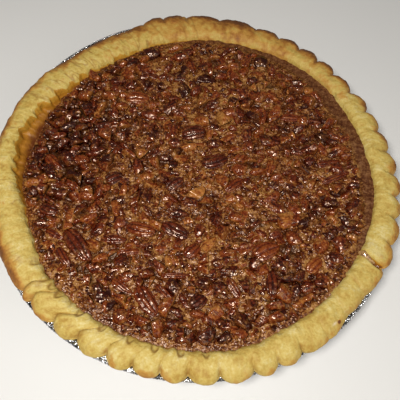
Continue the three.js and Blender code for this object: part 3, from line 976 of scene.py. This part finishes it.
def make_custard():
    """The set custard, lumpy between the nuts and smooth along its edge."""
    bottom = FLOOR_TOP + GAP
    below = [(0, bottom), (FLOOR_RADIUS - GAP, bottom), (FILLING_REACH, WALL_TOP)]
    top = [(FILLING_REACH * ring / CUSTARD_RINGS, FILLING_LEVEL) for ring in range(CUSTARD_RINGS, -1, -1)]
    bm, place = lathe([*below, *top], CUSTARD_STEPS)
    bare = bm.verts.layers.float.new("bare")
    edges = [filling_edge(360 * step / CUSTARD_STEPS) + EDGE_TUCK for step in range(CUSTARD_STEPS)]
    for vert in bm.verts:
        index = vert[place]
        if index < 2:
            continue
        turn = math.atan2(vert.co.y, vert.co.x)
        azimuth = math.degrees(turn)
        edge = nearest(edges, azimuth)
        ring = CUSTARD_RINGS + len(below) - index
        radius = around(WALL_RADIUS, azimuth) - GAP if index == 2 else edge * ring / CUSTARD_RINGS
        vert.co.xy = polar(radius, turn)
        if index > 2:
            band = edge - EDGE_TUCK - bare_band(azimuth)
            lumpy = 1 - 0.9 * ramp(radius, band - 3, band)
            flat = Vector((vert.co.x, vert.co.y, 0))
            bareness = max(EDGE_BARENESS, ramp(bare_band(azimuth), 0.4, 2.5))
            vert[bare] = ramp(radius + 2 * rough(flat, 8), band - 2, band + 2) * bareness
            vert.co.z = surface_height(vert.co.x, vert.co.y) + lerp(0.3, FOAM_RISE, lumpy)
            vert.co.z += lumpy * (1.1 * rough(flat, 5.5) + 0.5 * rough(flat, 1.9, 2))
            vert.co.z += (1 - lumpy) * 0.3 * rough(flat, 7)
    return finished(bm, "set_custard", set_custard(), "filling", "filling")


# ---------------------------------------------------------------- the nuts


def nut_back(long, wide, high, sides, steps, seed, wrinkled=0.1):
    """A pecan half along X, back up: blunt ends and lengthwise ridges with sharp grooves between them.

    Its vertices hold `groove`, 1 in a groove, and room for `cut`, 1 on a cut face, and `tone`, from dark to
    light.
    """
    bm = sphere_along_x(sides, steps)
    groove = bm.verts.layers.float.new("groove")
    bm.verts.layers.float.new("cut")
    bm.verts.layers.float.new("tone")
    rolls = random.Random(seed)
    wave = rolls.uniform(0, math.tau)
    offset = rolls.uniform(-0.12, 0.12)
    for vert in bm.verts:
        x, y, z = vert.co
        turn = math.atan2(y, z) + offset + 0.16 * math.sin(2.4 * x + wave)
        ridge = abs(math.cos(3.6 * turn))
        shown = smooth(math.hypot(y, z) * 1.5) * ramp(z, -0.3, 0)
        vert[groove] = (1 - ridge) ** 2 * shown
        spot = Vector((x * 2.4, turn * 2, seed * 7.3))
        wrinkle = wrinkled * (noise.noise(spot) + 0.6 * noise.noise(spot * 2.7))
        swell = (1 - 0.27 * (1 - ridge) ** 1.5 * shown + wrinkle) * (1 - 0.16 * x)
        vert.co.x = math.copysign(abs(x) ** 0.82, x) * long / 2 * (1 + 0.5 * wrinkle)
        vert.co.y = y * swell * wide / 2
        vert.co.z = z * swell * high / 2 * (0.75 if z < 0 else 1)
    return bm


def split_off(bm, rolls, cuts):
    """Cuts a nut by planes, and marks the cut faces in the layer `cut`."""
    cut = bm.faces.layers.int.new("cut_face")
    size = max(vert.co.length for vert in bm.verts)
    for number in range(cuts):
        way = Vector((rolls.uniform(-1, 1), rolls.uniform(-0.8, 0.8), rolls.uniform(-0.3, 0.3))).normalized()
        if number == 0:
            way = Vector((math.copysign(1, way.x), way.y * 0.5, way.z)).normalized()
        middle = way * size * rolls.uniform(0.05, 0.35)
        geometry = [*bm.verts, *bm.edges, *bm.faces]
        sliced = bmesh.ops.bisect_plane(bm, geom=geometry, plane_co=middle, plane_no=way, clear_outer=True)
        edges = [item for item in sliced["geom_cut"] if isinstance(item, bmesh.types.BMEdge)]
        if len(edges) > 2:
            for face in bmesh.ops.contextual_create(bm, geom=edges)["faces"]:
                face[cut] = 1


def template(kind, number):
    """A broken piece, 1 mm long and 1 mm high, as a mesh with its cut faces marked."""
    rolls = random.Random(number * 31 + len(kind))
    wide, high = rolls.uniform(0.8, 1.1), rolls.uniform(0.55, 0.8)
    bm = nut_back(1.5, wide, high, *SHAPE_STEPS[kind], number, wrinkled=0.22)
    split_off(bm, rolls, rolls.choice((1, 2, 2, 3)))
    cut_face = bm.faces.layers.int["cut_face"]
    caps = [face for face in bm.faces if face[cut_face]]
    borders = list({edge for face in caps for edge in face.edges})
    bmesh.ops.bevel(
        bm, geom=borders, affect="EDGES", offset=0.03, offset_type="OFFSET", segments=1, profile=0.5,
        material=-1, clamp_overlap=True,
    )
    bmesh.ops.triangulate(bm, faces=bm.faces)
    cut = bm.verts.layers.float["cut"]
    groove = bm.verts.layers.float["groove"]
    for face in bm.faces:
        if face[cut_face]:
            for vert in face.verts:
                vert[cut] = 1
                vert[groove] = 0
    lowest = Vector([min(vert.co[axis] for vert in bm.verts) for axis in range(3)])
    highest = Vector([max(vert.co[axis] for vert in bm.verts) for axis in range(3)])
    size = highest - lowest
    longest = max(size.x, size.y)
    bmesh.ops.translate(bm, verts=bm.verts, vec=-(lowest + highest) / 2)
    bmesh.ops.scale(bm, verts=bm.verts, vec=[1 / longest, 1 / longest, 1 / size.z])
    bmesh.ops.recalc_face_normals(bm, faces=bm.faces)
    return as_mesh(bm, f"{kind}_{number}")


class Heap:
    """The height of the topping so far, on a grid one millimetre apart."""

    def __init__(self):
        ticks = np.arange(-HEAP_REACH, HEAP_REACH + 1)
        self.x, self.y = np.meshgrid(ticks, ticks, indexing="ij")
        self.height = np.vectorize(surface_height)(self.x, self.y).astype(float)

    def mark_gaps(self, *pieces):
        """Gives each vertex of the pieces its painted shade and syrup: how far it lies below the heap's
        general height, up to 1.
        """
        general = self.height
        for axis in (0, 1):
            general = sum(np.roll(general, shift, axis) for shift in range(-3, 4)) / 7
        for piece in pieces:
            mesh = piece.data
            places = np.empty(len(mesh.vertices) * 3)
            mesh.vertices.foreach_get("co", places)
            x, y, z = (places.reshape(-1, 3) - np.array(AXIS)).T / MM
            level = general[np.rint(x).astype(int) + HEAP_REACH, np.rint(y).astype(int) + HEAP_REACH]
            gap = np.clip((level - z - GAP_START) / (GAP_END - GAP_START), 0, 1)
            mesh.attributes.new("gap", "FLOAT", "POINT").data.foreach_set("value", gap)

    @staticmethod
    def patch(x, y, reach):
        """The part of the grid round a spot."""
        lows = [int(middle - reach) + HEAP_REACH for middle in (x, y)]
        highs = [int(middle + reach) + HEAP_REACH + 2 for middle in (x, y)]
        return tuple(slice(max(0, low), high) for low, high in zip(lows, highs))

    def level(self, x, y, reach):
        """The mean height under a round spot."""
        return float(self.height[self.patch(x, y, reach)].mean())

    def add(self, x, y, z, long, wide, high, turn):
        """Raises the grid to the top of a piece."""
        spot = self.patch(x, y, long / 2)
        dx, dy = self.x[spot] - x, self.y[spot] - y
        along = (dx * math.cos(turn) + dy * math.sin(turn)) / (long / 2)
        across = (dy * math.cos(turn) - dx * math.sin(turn)) / (wide / 2)
        cap = np.sqrt(np.clip(1 - along**2 - across**2, 0, None))
        top = np.where(cap > 0, z + high / 2 * cap, 0)
        self.height[spot] = np.maximum(self.height[spot], top)


def near_half(x, y, room):
    """True if a spot lies on one of the placed halves, with some room round it."""
    for half_x, half_y, long, wide, turn, _ in HALVES:
        away = Vector((x - half_x, y - half_y))
        away.rotate(Matrix.Rotation(-math.radians(turn), 2))
        if math.hypot(away.x / (long / 2 + room), away.y / (wide / 2 + room)) < 1:
            return True
    return False


def bare_band(azimuth):
    """How wide the edge of plain custard is at an azimuth, in millimetres."""
    return around(BARE_BAND, azimuth)


def tone_at(x, y, rolls):
    """How light a piece is at a place, drawn at random round the tone of the pieces there."""
    golden = 0
    for patch_x, patch_y, reach, lighter in TONE_PATCHES:
        golden += lighter * math.exp(-((x - patch_x) ** 2 + (y - patch_y) ** 2) / reach**2)
    return min(1, max(0, TONE + golden + rolls.gauss(0, TONE_SPREAD)))


def add_piece(bm, shape, matrix, tone):
    """Adds a copy of a shape to a heap's mesh, with its tone on every vertex."""
    copy = shape.copy()
    copy.transform(matrix)
    copy.attributes["tone"].data.foreach_set("value", [tone] * len(copy.vertices))
    bm.from_mesh(copy)
    bpy.data.meshes.remove(copy)


def new_nuts():
    """An empty mesh with the layers of a nut."""
    bm = bmesh.new()
    for layer in ("groove", "cut", "tone"):
        bm.verts.layers.float.new(layer)
    return bm


def piece_matrix(x, y, z, tilt_x, tilt_y, turn, long, wide, high):
    return Matrix.LocRotScale(Vector((x, y, z)), Euler((tilt_x, tilt_y, turn)), Vector((long, wide, high)))


def make_halves(heap, glazed):
    """The pecan halves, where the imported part's halves lie."""
    bm = new_nuts()
    for index, (x, y, long, wide, turn, tone) in enumerate(HALVES):
        draw = random_source(RANDOM_SEED + index)
        tilt_x = lerp(-0.2, 0.2, draw())
        tilt_y = lerp(-0.12, 0.12, draw())
        turn = math.radians(turn)
        high = wide * (EDGE_THICKNESS if wide < long * ON_EDGE else HALF_THICKNESS)
        z = surface_height(x, y) + wide * HALF_THICKNESS * HALF_SHOWN
        shape = as_mesh(nut_back(long, wide, high, *SHAPE_STEPS["half"], index), f"half_{index}")
        add_piece(bm, shape, piece_matrix(x, y, z, tilt_x, tilt_y, turn, 1, 1, 1), tone)
        bpy.data.meshes.remove(shape)
        heap.add(x, y, z, long, wide, high, turn)
    nodes = [f"pecan_half_{index + 1:02d}" for index in range(len(HALVES))]
    return finished(bm, "pecan_halves", glazed, "pecan", *nodes)


def make_chopped(heap, glazed):
    """The larger chopped pieces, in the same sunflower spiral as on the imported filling."""
    bm = new_nuts()
    shapes = [template("large", number) for number in range(CHOPPED_SHAPES)]
    golden_angle = math.pi * (3 - math.sqrt(5))
    for count in range(CHOPPED_PIECES):
        draw = random_source(RANDOM_SEED * 1000 + count)
        long = lerp(9, 17, draw() ** 1.2)
        wide = long * lerp(0.55, 0.9, draw())
        high = lerp(4, 6.5, draw())
        azimuth = count * golden_angle + lerp(-0.03, 0.03, draw())
        reach = filling_edge(math.degrees(azimuth)) - NUT_MARGIN
        out = min(reach * math.sqrt((count + draw()) / CHOPPED_PIECES), reach - long / 2)
        x, y = polar(out, azimuth)
        tilt_x, tilt_y, turn = lerp(-0.2, 0.2, draw()), lerp(-0.2, 0.2, draw()), lerp(0, math.pi, draw())
        z = surface_height(x, y) + lerp(-0.4, 0.6, draw())
        if near_half(x, y, long * 0.3):
            continue
        rolls = random.Random(count)
        matrix = piece_matrix(x, y, z, tilt_x, tilt_y, turn, long, wide, high)
        add_piece(bm, shapes[count % len(shapes)], matrix, tone_at(x, y, rolls))
        heap.add(x, y, z, long, wide, high, turn)
    for shape in shapes:
        bpy.data.meshes.remove(shape)
    return finished(bm, "chopped_pecans", glazed, "filling", "filling")


def make_scatter(heap, glazed, name, kind, pieces, lengths, tries, seed):
    """Smaller pieces, each dropped into the lowest of a few spots, so that they fill the gaps."""
    bm = new_nuts()
    shapes = [template(kind, number) for number in range(SMALL_SHAPES)]
    rolls = random.Random(seed)
    for _ in range(pieces):
        long = rolls.uniform(*lengths)
        wide = long * rolls.uniform(0.55, 0.95)
        high = long * rolls.uniform(0.45, 0.75)
        spots = []
        while len(spots) < tries:
            azimuth = rolls.uniform(0, 360)
            reach = filling_edge(azimuth) - bare_band(azimuth) - long / 2
            out = reach * math.sqrt(rolls.random())
            x, y = polar(out, math.radians(azimuth))
            if not near_half(x, y, long * 0.2):
                spots.append((heap.level(x, y, long * 0.4), x, y))
        level, x, y = min(spots)
        z = min(level + high * rolls.uniform(-0.1, 0.18), TOPPING_TOP - high / 2)
        turn = rolls.gauss(0.1, 0.8)
        tilt_x, tilt_y = rolls.uniform(-0.35, 0.35), rolls.uniform(-0.35, 0.35)
        matrix = piece_matrix(x, y, z, tilt_x, tilt_y, turn, long, wide, high)
        add_piece(bm, rolls.choice(shapes), matrix, tone_at(x, y, rolls))
        heap.add(x, y, z, long, wide, high, turn)
    for shape in shapes:
        bpy.data.meshes.remove(shape)
    return finished(bm, name, glazed, "filling", "filling")


# ---------------------------------------------------------------- the room


def make_floor():
    bm = bmesh.new()
    bmesh.ops.create_grid(bm, x_segments=8, y_segments=8, size=3)
    floor = in_scene("floor", as_mesh(bm, "floor"))
    paint = Finish("pale_floor", Roughness=0.7)
    cloudy = paint.noise(0.2, detail=2)
    colour = paint.colours(cloudy, (0.3, (0.80, 0.79, 0.77)), (0.7, (0.83, 0.82, 0.80)))
    floor.data.materials.append(paint.finish(Base_Color=colour))


def make_camera():
    """Looks down at the pie from the side with the deepest pleats, a little turned."""
    rim_plane = 37 * MM
    target = AXIS + Vector((3.38 * MM, -18.88 * MM, rim_plane))
    distance = 326.7 * MM
    elevation = math.radians(63.92)
    roll = math.radians(3.48)
    focal_pixels = 560
    frame_pixels = 400
    back = Vector((0, -math.cos(elevation), math.sin(elevation)))
    up = Vector((0, math.sin(elevation), math.cos(elevation)))
    right = Vector((1, 0, 0))
    side = right * math.cos(roll) + up * math.sin(roll)
    top = up * math.cos(roll) - right * math.sin(roll)
    data = bpy.data.cameras.new("camera")
    data.sensor_width = 36
    data.lens = focal_pixels / frame_pixels * data.sensor_width
    data.clip_start = 0.01
    camera = in_scene("camera", data)
    turn = Matrix((side, top, back)).transposed().to_4x4()
    camera.matrix_world = Matrix.Translation(target + back * distance) @ turn
    scene.camera = camera


def add_light(name, place, size, power, colour):
    """A round lamp turned towards the pie."""
    pie = Vector((0, 0, 0.03))
    data = bpy.data.lights.new(name, "AREA")
    data.shape = "DISK"
    data.size = size
    data.energy = power
    data.color = colour
    light = in_scene(name, data)
    light.location = place
    light.rotation_euler = (pie - Vector(place)).to_track_quat("-Z", "Y").to_euler()


def make_lights():
    scene.view_settings.view_transform = "Standard"
    world = bpy.data.worlds.new("room")
    world.use_nodes = True
    world.node_tree.nodes["Background"].inputs["Color"].default_value = (1.0, 0.98, 0.94, 1)
    world.node_tree.nodes["Background"].inputs["Strength"].default_value = 0.12
    scene.world = world
    add_light("key", (-0.08, -0.22, 0.52), 0.12, 2.8, (1.0, 0.98, 0.94))
    add_light("fill", (0.5, -0.35, 0.6), 0.5, 0.8, (1.0, 0.98, 0.96))


# ---------------------------------------------------------------- the pie

make_camera()
make_lights()
make_floor()
make_tin()
make_crust()
make_crack_syrup()
custard = make_custard()
topping = Heap()
glazed = glazed_nut("glazed_pecan_pieces", crusting=0.6, broken=0.85)
nuts = [
    make_halves(topping, glazed_nut("glazed_pecan_halves", crusting=0.3, broken=0.55)),
    make_chopped(topping, glazed),
    make_scatter(topping, glazed, "smaller_pecans", "medium", MEDIUM_PIECES, MEDIUM_SIZES, tries=5, seed=101),
    make_scatter(topping, glazed, "pecan_crumbs", "crumb", CRUMBS, CRUMB_SIZES, tries=8, seed=202),
]
# Where the topping's gaps get painted shade and syrup.
topping.mark_gaps(custard, *nuts)

bpy.context.view_layer.update()
